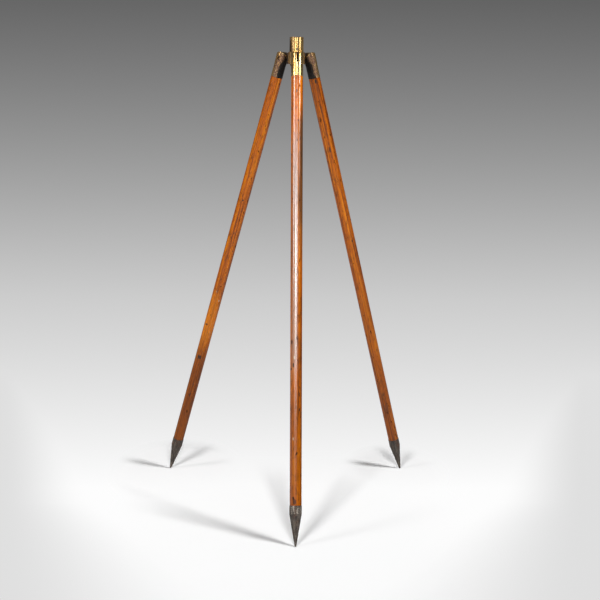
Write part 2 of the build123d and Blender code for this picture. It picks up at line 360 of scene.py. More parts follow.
@dataclass(frozen=True)
class VarnishedWood:
    """Straight-grained wood under old amber varnish, darker and duller towards the foot.

    Attributes:
        soil, soiled, dulled: Handling dirt on one side, its strength and the varnish it takes away.
        sheen_bloom, sheen_bloomed: Greyish band on the lit front where the lamps' sheen falls, partly milky
            varnish and partly painted sheen that makes the reflection read whiter; and its strength.
        top, bottom, darkening: Where the foot's dirt starts, where it is full and how strong it is.
    """

    pale: Colour = (0.620, 0.175, 0.003)
    amber: Colour = (0.400, 0.088, 0.001)
    brown: Colour = (0.120, 0.024, 0.001)
    foot: Colour = (0.090, 0.024, 0.005)
    scorch: Colour = (0.060, 0.020, 0.008)
    ding: Colour = (0.020, 0.012, 0.010)
    chip: Colour = (0.420, 0.330, 0.240)
    faded: Colour = (0.720, 0.230, 0.003)
    soil: Colour = (0.070, 0.036, 0.016)
    sheen_bloom: Colour = (0.210, 0.145, 0.115)
    coat_roughness: float = 0.30
    coat_ior: float = 1.80
    coat_weight: float = 0.36
    radius: float = 15.7 * MM
    knocks: tuple[Knock, ...] = ()
    knock_strength: float = 0.9
    faded_strength: float = 0.28
    ripple_depth: float = 0.4 * MM
    grain_depth: float = 0.05 * MM
    top: float = 0.0
    bottom: float = -1.2
    darkening: float = 0.5
    soiled: float = 0.0
    dulled: float = 0.0
    sheen_bloomed: float = 0.0
    ragged: float = 12 * MM
    soil_side: Band = (1 * MM, 10 * MM)
    soil_top: Band = (-0.12, -0.20)
    soil_foot: Band = (-0.62, -0.40)
    sheen_bloom_left: Band = (-15 * MM, -9 * MM)
    sheen_bloom_right: Band = (7 * MM, -1 * MM)
    sheen_bloom_front: Band = (0.0, 6 * MM)
    sheen_bloom_top: Band = (-0.16, -0.26)
    sheen_bloom_foot: Band = (-0.88, -0.78)
    broad: Cloud = Cloud((95, 95, 2.6), 3.0, 0.5, 0.3)
    streaks: Cloud = Cloud((330, 330, 6.5), 4.0, 0.6, 0.2)
    smoke: Cloud = Cloud((14, 14, 7.0), 3.0, 0.6)
    ripples: Cloud = Cloud((105, 105, 3.2), 1.0, 0.4)
    pores: Flecks = Flecks(Cloud((1500, 1500, 42), 2.0, 0.6), (0.60, 0.72), 0.45)
    mottle: Flecks = Flecks(Cloud((240, 240, 58), 5.0, 0.72, 0.3), (0.49, 0.66), 0.66)
    patches: Flecks = Flecks(Cloud((38, 38, 15), 3.0, 0.6), (0.56, 0.74), 0.55)
    dings: Flecks = Flecks(Cloud((150, 150, 60), 2.0, 0.5), (0.670, 0.705))
    chips: Flecks = Flecks(Cloud((150, 150, 34), 2.0, 0.5), (0.755, 0.790))

    def make(self, name: str, matrix: Matrix, seed: float) -> bpy.types.Material:
        """Make the material for one pole.

        Args:
            name: The material's name.
            matrix: The leg's frame, with Z up the leg.
            seed: Shift that gives each pole its own grain.

        Returns:
            The material.
        """
        material, kit = new_material(name)
        spot = kit.place(matrix)
        outward, sideways, along = kit.split(spot)
        shift = (seed, seed * 0.7, seed * 1.3)
        streaks = self.streaks.over(kit, spot, shift)
        grain = (self.broad.over(kit, spot, shift) * 0.40 + streaks * 0.60).rise(0.38, 0.62)
        stops = [(0.0, self.brown), (0.38, self.amber), (0.72, self.amber), (1.0, self.pale)]
        wood = kit.add("ShaderNodeValToRGB", {"stops": stops}, {"Fac": grain})
        wood = kit.blend(self.pores.over(kit, spot, shift), wood, self.brown)
        wood = kit.blend(self.mottle.over(kit, spot, shift), wood, self.scorch)
        smoke = self.smoke.over(kit, spot, shift) - 0.5
        wear = along.rise(self.top, self.bottom) * self.darkening + smoke * 0.5
        wood = kit.blend(wear.at_least(0.0).at_most(0.85), wood, self.foot)
        wood = kit.blend(self.patches.over(kit, spot, (seed * 2, seed, seed)), wood, self.scorch)
        side = (sideways + smoke * self.ragged).rise(*self.soil_side)
        if self.soiled:
            reach = along.rise(*self.soil_top) * along.rise(*self.soil_foot)
            wood = kit.blend(side * reach * self.soiled, wood, self.soil)
        # Painted sheen with milky varnish: a greyish band where the lamps' reflection falls on the lit front,
        # which makes that reflection read whiter.
        if self.sheen_bloomed:
            band = sideways.rise(*self.sheen_bloom_left) * sideways.rise(*self.sheen_bloom_right)
            band = band * outward.rise(*self.sheen_bloom_front)
            band = band * along.rise(*self.sheen_bloom_top) * along.rise(*self.sheen_bloom_foot)
            wood = kit.blend(band * (0.4 + streaks * 1.2).at_most(1.0) * self.sheen_bloomed, wood, self.sheen_bloom)
        dings = self.dings.over(kit, spot, shift)
        chips = self.chips.over(kit, spot, (seed + 9, seed, seed))
        wood = kit.blend(dings * 0.9, wood, self.ding)
        wood = kit.blend(chips * 0.6, wood, self.chip)
        wood = self._knocked(kit, wood, spot, streaks)
        ripples = self.ripples.over(kit, spot, shift) * along.rise(self.top - 0.10, self.top - 0.30)
        normal = kit.bump(ripples, self.ripple_depth)
        normal = kit.bump(streaks - dings * 0.8, self.grain_depth, normal)
        coat = self.coat_weight - side * self.dulled - wear * 0.2 - chips * 0.8 - dings * 0.5
        shader = kit.surface(
            Base_Color=wood,
            Roughness=0.36 + (1 - grain) * 0.14 + dings * 0.2,
            Specular_IOR_Level=0.0,
            Coat_Weight=coat.at_least(0.0),
            Coat_Roughness=self.coat_roughness,
            Coat_IOR=self.coat_ior,
            Normal=normal,
        )
        kit.finish(shader)
        return material

    def _knocked(self, kit: NodeKit, wood: Signal, spot: Signal, rough: Signal) -> Signal:
        """Lay the knocks on the wood's colour, with edges broken by fine noise."""
        shades = {Mark.DING: self.ding, Mark.CHIP: self.chip, Mark.STAIN: self.scorch, Mark.FADED: self.faded}
        for knock in self.knocks:
            strength = self.faded_strength if knock.kind is Mark.FADED else self.knock_strength
            cover = knock.cover(kit, spot, rough, self.radius)
            wood = kit.blend(cover * strength, wood, shades[knock.kind])
        return wood


@dataclass(frozen=True)
class OldBrass:
    """Turned brass, browned, with one side painted brighter where the lamps light it, partly rubbed brass,
    and the other side painted black as shade.

    Attributes:
        turning: How far the turning marks draw the highlights out.
        recess_shade: Strength of the painted shade: black on parts that stand far from the axis, where the
            hub's tongues sit in the caps' slots.
        crest_highlight: How strongly the rounded top edges are painted bright, a painted highlight.
        glints: Strength of the small rubbed spots and pits.
        shade_retreat: How far the painted shade draws back near the top, over the band `shade_retreat_top`.
    """

    bright: Colour = (0.850, 0.640, 0.300)
    deep: Colour = (0.600, 0.330, 0.085)
    tarnish: Colour = (0.140, 0.070, 0.042)
    # Black for the pits and for the painted shade.
    soot_and_shade: Colour = (0.012, 0.009, 0.007)
    browned: float = 0.4
    roughness: float = 0.24
    turning: float = 0.75
    recess_shade: float = 0.0
    crest_highlight: float = 0.0
    glints: float = 0.25
    ragged: float = 12 * MM
    shade_retreat: float = 7 * MM
    shade_retreat_top: Band = (-23 * MM, 2 * MM)
    # Bands of the side painted brighter where lit and of the side painted black as shade.
    rubbed_and_lit_side: Band = (-6 * MM, 15 * MM)
    shaded_side: Band = (-3 * MM, -9 * MM)
    recess_shade_radius: Band = (23 * MM, 26 * MM)
    crest_radius: Band = (16.7 * MM, 17.3 * MM)
    crest_height: Band = (0.0, 4 * MM)
    cloud_depth: float = 0.35 * MM
    scratch_depth: float = 0.05 * MM
    clouds: Cloud = Cloud((75, 75, 48), 5.0, 0.62, 0.4)
    drips: Cloud = Cloud((260, 260, 22), 4.0, 0.6)
    specks: Cloud = Cloud((520, 520, 420), 3.0, 0.65)
    pits: Cloud = Cloud((340, 340, 210), 4.0, 0.7)
    scratches: Cloud = Cloud((900, 900, 70), 2.0, 0.6)

    def make(
        self, name: str, matrix: Matrix, seed: float, rubbed: float = 0.0, painted_shade: float = 0.0
    ) -> bpy.types.Material:
        """Make the material for one brass piece.

        Args:
            name: The material's name.
            matrix: The piece's frame, with Z along its turned axis.
            seed: Shift that gives each piece its own marks.
            rubbed: How much brighter the side facing +X of that frame is painted, partly rubbed brass and
                partly painted light where the lamps fall.
            painted_shade: How black the side facing -X of that frame is painted, as painted shade.

        Returns:
            The material.
        """
        material, kit = new_material(name)
        spot = kit.place(matrix)
        outward, sideways, along = kit.split(spot)
        shift = (seed * 1.1, seed, seed * 0.6)
        clouds = self.clouds.over(kit, spot, shift)
        drips = self.drips.over(kit, spot, shift)
        specks = self.specks.over(kit, spot, shift)
        pits = self.pits.over(kit, spot, shift)
        age_and_light = clouds * 0.55 + drips * 0.45 + (self.browned - 0.5)
        # The side facing +X is painted brighter: partly rubbed brass, partly painted light.
        age_and_light = age_and_light - outward.rise(*self.rubbed_and_lit_side) * rubbed
        # The side facing -X is painted black as shade, which draws back near the top.
        edge = outward + along.rise(*self.shade_retreat_top) * self.shade_retreat + (clouds - 0.5) * self.ragged
        black = edge.rise(*self.shaded_side) * painted_shade
        # Painted shade: black on the hub's tongues, where they sit in the shade of the caps' slots.
        if self.recess_shade:
            reach = (outward**2 + sideways**2).root()
            black = reach.rise(*self.recess_shade_radius) * self.recess_shade
        # Painted highlight: the rounded top edges are cleared to bright brass and lose the painted shade.
        if self.crest_highlight:
            top = (outward**2 + along**2).root().rise(*self.crest_radius) * along.rise(*self.crest_height)
            age_and_light = age_and_light - top * self.crest_highlight
            black = black * (1 - top * self.crest_highlight)
        shine = pits.rise(0.50, 0.62) * self.glints
        brown = (age_and_light.rise(0.36, 0.60) * (1 - shine)).at_least(black)
        metal = kit.blend(drips.rise(0.40, 0.62), self.deep, self.bright)
        metal = kit.blend(brown, metal, self.tarnish)
        metal = kit.blend(pits.rise(0.48, 0.36) * self.glints * 0.8, metal, self.soot_and_shade)
        spots = specks.rise(0.66, 0.76) * (0.35 + brown * 0.55)
        metal = kit.blend(spots.at_least(black), metal, self.soot_and_shade)
        scratches = self.scratches.over(kit, spot, shift)
        normal = kit.bump(clouds, self.cloud_depth)
        normal = kit.bump(specks * 0.6 + scratches * 0.4, self.scratch_depth, normal)
        shader = kit.surface(
            Base_Color=metal,
            Metallic=1 - brown * 0.45,
            Roughness=self.roughness + brown * 0.22 + black * 0.2 + (specks - 0.5) * 0.15,
            Anisotropic=self.turning,
            Anisotropic_Rotation=0.25,
            Normal=normal,
        )
        kit.finish(shader)
        return material


@dataclass(frozen=True)
class ForgedIron:
    """Hammered iron, brown-black with rubbed grey high spots, a little rust and a scuffed collar."""

    black: Colour = (0.024, 0.018, 0.014)
    grey: Colour = (0.140, 0.116, 0.094)
    rust: Colour = (0.150, 0.062, 0.026)
    pale: Colour = (0.400, 0.350, 0.290)
    scuffed: float = 0.3
    collar_edge: float = 3 * MM
    scuffed_side: Band = (4 * MM, 15 * MM)
    dent_depth: float = 0.8 * MM
    pit_depth: float = 0.22 * MM
    clouds: Cloud = Cloud((70, 70, 40), 5.0, 0.62)
    drawn: Cloud = Cloud((230, 230, 26), 4.0, 0.6)
    pits: Cloud = Cloud((420, 420, 380), 4.0, 0.7)

    def make(self, name: str, matrix: Matrix, collar: float, seed: float) -> bpy.types.Material:
        """Make the material for one spike or nail.

        Args:
            name: The material's name.
            matrix: The leg's frame, with Z up the leg.
            collar: Place along the leg of the collar's lower end.
            seed: Shift that gives each piece its own marks.

        Returns:
            The material.
        """
        material, kit = new_material(name)
        spot = kit.place(matrix)
        outward, _, along = kit.split(spot)
        shift = (seed, seed * 1.7, seed * 0.9)
        clouds = self.clouds.over(kit, spot, shift)
        drawn = self.drawn.over(kit, spot, shift)
        pits = self.pits.over(kit, spot, shift)
        rubbed = (drawn * 0.6 + pits * 0.4).rise(0.42, 0.66)
        iron = kit.blend(rubbed, self.black, self.grey)
        iron = kit.blend((clouds * 0.7 + pits * 0.3).rise(0.50, 0.68) * 0.55, iron, self.rust)
        band = along.rise(collar, collar + self.collar_edge)
        scuffs = (pits * 0.5 + drawn * 0.5).rise(0.50, 0.58) * outward.rise(*self.scuffed_side)
        iron = kit.blend(scuffs * band * self.scuffed, iron, self.pale)
        normal = kit.bump(clouds, self.dent_depth)
        normal = kit.bump(pits, self.pit_depth, normal)
        shader = kit.surface(
            Base_Color=iron,
            Metallic=0.25 + rubbed * 0.45,
            Roughness=0.72 - rubbed * 0.20,
            Normal=normal,
        )
        kit.finish(shader)
        return material


@dataclass(frozen=True)
class BluedSteel:
    """Small dark screw steel with rubbed edges."""

    dark: Colour = (0.030, 0.034, 0.045)
    rubbed: Colour = (0.210, 0.190, 0.165)
    wear: Cloud = Cloud((900, 900, 900), 4.0, 0.65)
    wear_depth: float = 0.04 * MM

    def make(self, name: str) -> bpy.types.Material:
        """Make the material.

        Args:
            name: The material's name.

        Returns:
            The material.
        """
        material, kit = new_material(name)
        wear = self.wear.over(kit, kit.place(Matrix.Identity(4)))
        shader = kit.surface(
            Base_Color=kit.blend(wear.rise(0.48, 0.66), self.dark, self.rubbed),
            Metallic=0.9,
            Roughness=0.34 + wear * 0.25,
            Normal=kit.bump(wear, self.wear_depth),
        )
        kit.finish(shader)
        return material


# ---- Mesh work ----


class Side(Enum):
    """The three legs, by the side of the head that they stand on."""

    FRONT = "front"
    RIGHT = "right"
    LEFT = "left"


def link_mesh(name: str, bm: bmesh.types.BMesh, material: bpy.types.Material) -> bpy.types.Object:
    """Turn a finished bmesh into an object at the origin.

    Args:
        name: The piece's name.
        bm: The mesh, which is freed.
        material: Its material.

    Returns:
        The linked object.
    """
    mesh = bpy.data.meshes.new(name)
    bm.to_mesh(mesh)
    bm.free()
    mesh.materials.append(material)
    mesh.shade_smooth()
    mesh.set_sharp_from_angle(angle=SHARP)
    piece = bpy.data.objects.new(name, mesh)
    bpy.context.scene.collection.objects.link(piece)
    return piece


def lathe(profile: list[tuple[float, float]], steps: int, rings: float) -> bmesh.types.BMesh:
    """Turn a profile about Z into a closed shape.

    Args:
        profile: (radius, height) corners, from one end on the axis to the other.
        steps: Faces round the axis.
        rings: Longest step along the profile, in metres.

    Returns:
        The turned mesh, with its faces outwards.
    """
    bm = bmesh.new()
    corners = [bm.verts.new((radius, 0, height)) for radius, height in profile]
    edges = [bm.edges.new(pair) for pair in zip(corners, corners[1:])]
    for edge in edges:
        cuts = int(edge.calc_length() / rings)
        if cuts:
            bmesh.ops.subdivide_edges(bm, edges=[edge], cuts=cuts)
    bmesh.ops.spin(
        bm, geom=bm.verts[:] + bm.edges[:], cent=(0, 0, 0), axis=(0, 0, 1),
        angle=2 * math.pi, steps=steps, use_merge=True,
    )
    bmesh.ops.remove_doubles(bm, verts=bm.verts[:], dist=WELD)
    bmesh.ops.recalc_face_normals(bm, faces=bm.faces[:])
    return bm


def eased_copy(node: str, material: bpy.types.Material, edge: float) -> bpy.types.Object:
    """Copy a CAD node with its triangles merged and its sharp edges eased.

    Args:
        node: The CAD node.
        material: Its material.
        edge: Width of the eased edges in metres.

    Returns:
        The new piece.
    """
    bm = bmesh.new()
    bm.from_mesh(frame["nodes"][node].data)
    for layer in list(bm.loops.layers.uv):
        bm.loops.layers.uv.remove(layer)
    bmesh.ops.remove_doubles(bm, verts=bm.verts[:], dist=WELD)
    bmesh.ops.dissolve_limit(bm, angle_limit=FLAT, verts=bm.verts[:], edges=bm.edges[:])
    bmesh.ops.recalc_face_normals(bm, faces=bm.faces[:])
    piece = link_mesh(f"eased_{node}", bm, material)
    if "custom_normal" in piece.data.attributes:
        piece.data.attributes.remove(piece.data.attributes["custom_normal"])
    ease = piece.modifiers.new("eased_edges", "BEVEL")
    ease.width = edge
    ease.segments = 2
    ease.limit_method = "ANGLE"
    ease.angle_limit = SHARP
    ease.use_clamp_overlap = True
    ease.harden_normals = True
    return piece


def dress(node: str, material: bpy.types.Material) -> None:
    """Give a CAD node its material."""
    piece = frame["nodes"][node]
    piece.data.materials.clear()
    piece.data.materials.append(material)
    LOG.info("%s dressed with %s", piece.name, material.name)


# ---- The tripod ----


@dataclass
class LegPlace:
    """Where one leg stands, read from its joint and its pole's box."""

    side: Side
    matrix: Matrix = field(init=False)

    def __post_init__(self) -> None:
        """Work out the leg's frame: X out of the leg, Y along the hinge screw and Z up the leg."""
        joint = next(j for j in frame["joints"] if j["child"] == self.body)
        pivot = Vector(joint["pos_m"])
        hinge = Vector(joint["axis"]).normalized()
        low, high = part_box(self.node("pole"))
        up = pivot - (low + high) / 2
        up = (up - up.dot(hinge) * hinge).normalized()
        out = hinge.cross(up)
        rotation = Matrix((out, hinge, up)).transposed().to_4x4()
        self.matrix = Matrix.Translation(pivot) @ rotation

    @property
    def body(self) -> str:
        """Name of the leg's body."""
        return f"leg_{self.side.value}"

    def node(self, piece: str) -> str:
        """Name of one of the leg's CAD nodes."""
        return f"{piece}_{self.side.value}"

    def reach(self, piece: str) -> tuple[float, float]:
        """Lowest and highest place of one of the leg's CAD nodes along the leg."""
        into = self.matrix.inverted()
        heights = [(into @ v.co).z for v in frame["nodes"][self.node(piece)].data.vertices]
        return min(heights), max(heights)


@dataclass
class Leg:
    """One leg: its hinge cap, pole, spike and fastenings.

    Attributes:
        seed: Shift that gives the leg its own marks.
        rubbed, painted_shade: How much brighter the cap's lit outer side is painted, partly rubbed brass and
            partly painted light, and how black its inner side is painted as shade.
        nail_collar: Place below the whole leg, so that the nail is scuffed all over.
    """

    place: LegPlace
    seed: float
    wood: VarnishedWood
    iron: ForgedIron
    brass: OldBrass
    rubbed: float
    painted_shade: float
    pole_top_radius: float = 15.9 * MM
    pole_foot_radius: float = 15.4 * MM
    cap_tenon_radius: float = 13.1 * MM
    spike_tenon_radius: float = 12.75 * MM
    pole_round: float = 0.6 * MM
    pole_waver: float = 0.10 * MM
    pole_steps: int = 72
    pole_rings: float = 18 * MM
    planed_cells: Triple = (34, 34, 9)
    collar_length: float = 22.5 * MM
    collar_radius: float = 16.2 * MM
    collar_bore: float = 12.8 * MM
    collar_edge: float = 0.6 * MM
    tip_radius: float = 2.2 * MM
    tip_round: float = 1.4 * MM
    spike_steps: int = 56
    spike_rings: float = 4 * MM
    hammering: float = 0.30 * MM
    hammer_cells: Triple = (150, 150, 70)
    rim_waver: float = 0.45 * MM
    rim_cells: float = 160
    eased: float = 0.45 * MM
    screw_eased: float = 0.15 * MM
    nail_collar: float = -2.0
    screw_brass: OldBrass = OldBrass(browned=0.58, roughness=0.30)
    nail_iron: ForgedIron = ForgedIron(grey=(0.24, 0.21, 0.18), scuffed=0.8)

    def build(self) -> None:
        """Build and dress every piece of the leg."""
        side = self.place.side.value
        frame_of_leg = self.place.matrix
        # The cap's lit outer side is painted brighter and its inner side painted black as shade.
        metal = self.brass.make(f"cap_brass_{side}", frame_of_leg, self.seed, self.rubbed, self.painted_shade)
        screw = self.screw_brass.make(f"screw_brass_{side}", frame_of_leg, self.seed + 3)
        nail = self.nail_iron.make(f"nail_iron_{side}", frame_of_leg, self.nail_collar, self.seed)
        cap = eased_copy(self.place.node("hinge_cap"), metal, self.eased)
        pivot = eased_copy(self.place.node("hinge_screw"), screw, self.screw_eased)
        self._stand_for("pole", self._pole(), "varnished_wood")
        self._stand_for("spike", self._spike(), "forged_iron")
        self._stand_for("hinge_cap", cap, "aged_brass")
        self._stand_for("hinge_screw", pivot, "screw_brass")
        dress(self.place.node("cap_pin"), metal)
        dress(self.place.node("spike_nail"), nail)

    def _stand_for(self, node: str, piece: bpy.types.Object, slot: str) -> None:
        """Let a new piece stand for a CAD node and ride on the leg."""
        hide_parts(self.place.node(node))
        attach(piece, self.place.body)
        LOG.info("%s stands for %s", piece.name, self.place.node(node))

    def _pole(self) -> bpy.types.Object:
        """Turn the pole with a tenon at each end and let it waver a little, as a hand-planed pole does.

        Returns:
            The pole.
        """
        side = self.place.side.value
        foot, top = self.place.reach("pole")
        shoulder = self.place.reach("hinge_cap")[0]
        seat = self.place.reach("spike")[1]
        ease = self.pole_round
        profile = [
            (0, top),
            (self.cap_tenon_radius, top),
            (self.cap_tenon_radius, shoulder),
            (self.pole_top_radius - ease, shoulder),
            (self.pole_top_radius, shoulder - ease),
            (self.pole_foot_radius, seat + ease),
            (self.pole_foot_radius - ease, seat),
            (self.spike_tenon_radius, seat),
            (self.spike_tenon_radius, foot),
            (0, foot),
        ]
        bm = lathe(profile, self.pole_steps, self.pole_rings)
        for vert in bm.verts:
            if seat < vert.co.z < shoulder:
                self._waver(vert, self.pole_waver, self.planed_cells)
        bm.transform(self.place.matrix)
        material = self.wood.make(f"varnished_wood_{side}", self.place.matrix, self.seed)
        return link_mesh(f"turned_pole_{side}", bm, material)

    def _waver(self, vert: bmesh.types.BMVert, depth: float, cells: Triple) -> None:
        """Press a point of a turned shape inwards by up to a depth.

        Args:
            vert: The point, in the leg's own frame.
            depth: Greatest depth.
            cells: Marks per metre along X, Y and Z.
        """
        spot = Vector((vert.co.x * cells[0], vert.co.y * cells[1], vert.co.z * cells[2] + self.seed))
        dent = 0.5 + 0.5 * noise.noise(spot)
        radial = Vector((vert.co.x, vert.co.y, 0))
        if radial.length > 2 * depth:
            vert.co -= radial.normalized() * depth * dent

    def _spike(self) -> bpy.types.Object:
        """Forge the spike: a socketed collar and a hammered cone with a blunt point.

        Returns:
            The spike.
        """
        side = self.place.side.value
        tip, rim = self.place.reach("spike")
        floor = self.place.reach("pole")[0] - 1.0 * MM
        cone = rim - self.collar_length
        ease = self.collar_edge
        profile = [
            (0, floor),
            (self.collar_bore, floor),
            (self.collar_bore, rim),
            (self.collar_radius - ease, rim),
            (self.collar_radius, rim - ease),
            (self.collar_radius, cone),
            (self.tip_radius + 0.2 * MM, tip + self.tip_round),
            (self.tip_radius - 0.9 * MM, tip + 0.25 * MM),
            (0, tip),
        ]
        bm = lathe(profile, self.spike_steps, self.spike_rings)
        for vert in bm.verts:
            outside = vert.co.xy.length > self.collar_bore + MM or vert.co.z < floor - MM
            if outside and vert.co.z > tip + MM:
                self._waver(vert, self.hammering, self.hammer_cells)
            if vert.co.z > rim - MM and outside:
                round_rim = vert.co.xy * self.rim_cells
                lift = noise.noise(Vector((*round_rim, self.seed)))
                vert.co.z -= self.rim_waver * (0.5 + 0.5 * lift)
        bm.transform(self.place.matrix)
        material = self.iron.make(f"forged_iron_{side}", self.place.matrix, cone, self.seed)
        return link_mesh(f"forged_spike_{side}", bm, material)


@dataclass
class Head:
    """The brass head: socket tube, hub, locknut and set screw.

    Attributes:
        tube_turn: Degrees from +X to the tube's side that is painted brighter, the side that the lamps light.
        rubbed, painted_shade: How much brighter that side is painted, partly rubbed brass and partly painted
            light, and how black the other side is painted as shade.
    """

    tube_edge: float = 0.35 * MM
    hub_edge: float = 0.40 * MM
    nut_edge: float = 0.30 * MM
    tube_brass: OldBrass = OldBrass(browned=0.50, roughness=0.34, turning=0.9)
    # The hub's tongues are painted black as the shade inside the caps' slots.
    hub_brass: OldBrass = OldBrass(browned=0.50, roughness=0.34, recess_shade=0.93)
    steel: BluedSteel = BluedSteel()
    tube_turn: float = -28.0
    tube_seed: float = 4.0
    hub_seed: float = 7.0
    rubbed: float = 0.16
    painted_shade: float = 0.75

    def build(self) -> None:
        """Build and dress every piece of the head."""
        # The tube's lamp-lit side is painted brighter and its far side painted black as shade.
        turned = Matrix.Rotation(math.radians(self.tube_turn), 4, "Z")
        polished = self.tube_brass.make("socket_brass", turned, self.tube_seed, self.rubbed, self.painted_shade)
        dull = self.hub_brass.make("hub_brass", Matrix.Identity(4), self.hub_seed)
        self._stand_for("socket_tube", polished, self.tube_edge, "polished_brass")
        self._stand_for("hub", dull, self.hub_edge, "dull_brass")
        self._stand_for("hub_locknut", dull, self.nut_edge, "dull_brass")
        dress("socket_set_screw", self.steel.make("set_screw_steel"))

    @staticmethod
    def _stand_for(node: str, material: bpy.types.Material, edge: float, slot: str) -> None:
        """Let an eased copy stand for one of the head's CAD nodes and ride on the head."""
        piece = eased_copy(node, material, edge)
        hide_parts(node)
        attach(piece, "head")
        LOG.info("%s stands for %s", piece.name, node)


# ---- The studio ----


@dataclass(frozen=True)
class Softbox:
    """One soft lamp, placed by its direction from the tripod in degrees and its distance."""

    name: str
    azimuth: float
    elevation: float
    width: float
    height: float
    level: float
    distance: float = 8.0

    def hang(self, target: Vector) -> None:
        """Hang the lamp and aim it at the target."""
        turn, tilt = math.radians(self.azimuth), math.radians(self.elevation)
        level_way = Vector((math.sin(turn), -math.cos(turn), 0))
        way = level_way * math.cos(tilt) + Vector((0, 0, math.sin(tilt)))
        lamp = bpy.data.lights.new(self.name, "AREA")
        lamp.shape = "RECTANGLE"
        lamp.size = self.width
        lamp.size_y = self.height
        lamp.energy = self.level * math.pi**2 * self.distance**2
        holder = bpy.data.objects.new(self.name, lamp)
        bpy.context.scene.collection.objects.link(holder)
        holder.location = target + way * self.distance
        holder.rotation_euler = (-way).to_track_quat("-Z", "Y").to_euler()
        LOG.info("%s hung", self.name)


@dataclass(frozen=True)
class Paper:
    """Studio paper: a bright pool round the tripod that fades into a grey backdrop.

    The paper's tone is painted light, a pool of light that falls off into grey, painted on by place.
    Round each foot it takes the lamps' real shadows instead, which fade out again further away.

    Attributes:
        near_fall, far_fall: Tone with depth, as a start and a gain; the darker one counts.
        wall_fall: How the tone changes with height and with its square.
        pool_centre: Place of the pool's middle line and its drift with depth.
        pool_width: Half width of the pool, its growth with depth and its least value.
        pool_core: Bright share of the half width with its growth, twice; the smaller one counts.
        lamp_level, lamp_fall: Light that the lamps give the paper, and its fall with depth.
        shadow_gain: How much the real shadows are deepened.
        squash: How much sooner the shadows fade out sideways than in depth.
        reach, depth_fade: Where each spike's shadows fade out, all round and behind it.
        nap: The way that the paper's nap faces, towards the front lamps.
    """

    near_fall: Band = (0.593, 1.265)
    far_fall: Band = (0.523, 1.705)
    eye_depth: float = 3.14
    front_depth: float = -1.6
    wall_fall: Band = (-0.208, 0.0106)
    tones: Band = (0.32, 0.992)
    pool_centre: Band = (0.02, 0.055)
    pool_width: Triple = (0.86, 0.25, 0.2)
    pool_core: tuple[Band, Band] = ((0.75, 0.75), (0.70, 0.20))
    core_limits: Band = (0.1, 0.95)
    rim_tone: float = 0.872
    gamma: float = 2.2
    lamp_level: float = 0.92
    lamp_fall: float = 0.10
    shadow_gain: float = 1.32
    squash: float = 1.6
    reach: tuple[tuple[str, Band], ...] = (
        ("spike_front", (0.45, 0.85)),
        ("spike_right", (0.13, 0.27)),
        ("spike_left", (0.18, 0.33)),
    )
    depth_fade: Band = (0.42, 0.72)
    nap: Triple = (0.36, -0.84, 0.40)
    bounce: float = 0.45

    def make(self) -> bpy.types.Material:
        """Make the paper's material.

        Returns:
            The material.
        """
        material, kit = new_material("studio_paper")
        spot = kit.place(Matrix.Translation((0, 0, FLOOR_Z)))
        across, depth, height = kit.split(spot)
        # Painted light: the pool's glow, as the camera and reflections see it.
        light = self._tone(across, depth, height) ** self.gamma
        glowing = kit.add("ShaderNodeEmission", {}, {"Color": kit.grey(light)})
        # Near the feet the paper is brightened by shadow_gain and a negative glow takes the same light back,
        # so that the real shadows come out deeper: painted shade on top of them.
        paper = kit.grey(light * self.shadow_gain / (self.lamp_level - depth * self.lamp_fall))
        facing = kit.add("ShaderNodeCombineXYZ", {}, dict(enumerate(self.nap)))
        shaded = kit.add("ShaderNodeBsdfDiffuse", {}, {"Color": paper, "Normal": facing})
        taken = kit.add("ShaderNodeEmission", {}, {"Color": kit.grey(light * (1 - self.shadow_gain))})
        shaded = kit.add("ShaderNodeAddShader", {}, {0: shaded, 1: taken})
        near = reduce(Signal.at_least, (self._near(across, depth, *reach) for reach in self.reach))
        seen = kit.add("ShaderNodeMixShader", {}, {0: near, 1: glowing, 2: shaded})
        plain = kit.add("ShaderNodeBsdfDiffuse", {}, {"Color": (*[self.bounce] * 3, 1.0)})
        camera, glossy, through = kit.rays("Is Camera Ray", "Is Glossy Ray", "Is Transmission Ray")
        direct = (camera + glossy + through).at_most(1.0)
        kit.finish(kit.add("ShaderNodeMixShader", {}, {0: direct, 1: plain, 2: seen}))
        return material

    def _tone(self, across: Signal, depth: Signal, height: Signal) -> Signal:
        """The paper's painted light: a bright pool that falls off into grey, as a tone from 0 to 1."""
        nearness = 1 / (depth.at_least(self.front_depth) + self.eye_depth)
        far, near = (start + gain * nearness for start, gain in (self.far_fall, self.near_fall))
        tone = far.at_most(near) + height * self.wall_fall[0] + height * height * self.wall_fall[1]
        tone = tone.at_most(self.tones[1]).at_least(self.tones[0])
        centre, drift = self.pool_centre
        width, growth, least = self.pool_width
        offset = ((across - centre - depth * drift) ** 2).root()
        aside = offset / (width + depth * growth).at_least(least)
        first, second = (share + depth * gain for share, gain in self.pool_core)
        core = first.at_most(second).at_least(self.core_limits[0]).at_most(self.core_limits[1])
        fade = ((aside - core) / (1 - core)).at_least(0.0).at_most(1.0)
        smooth = fade * fade * (3 - 2 * fade)
        return tone - (tone - self.rim_tone).at_least(0.0) * smooth

    def _near(self, across: Signal, depth: Signal, spike: str, reach: Band) -> Signal:
        """How far the paper takes the real shadows of one foot, 1 near it and 0 far from it."""
        low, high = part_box(spike)
        foot = (low + high) / 2
        away = (((across - foot.x) * self.squash) ** 2 + (depth - foot.y) ** 2).root()
        start, end = self.depth_fade
        return away.rise(*reversed(reach)) * depth.rise(foot.y + end, foot.y + start)


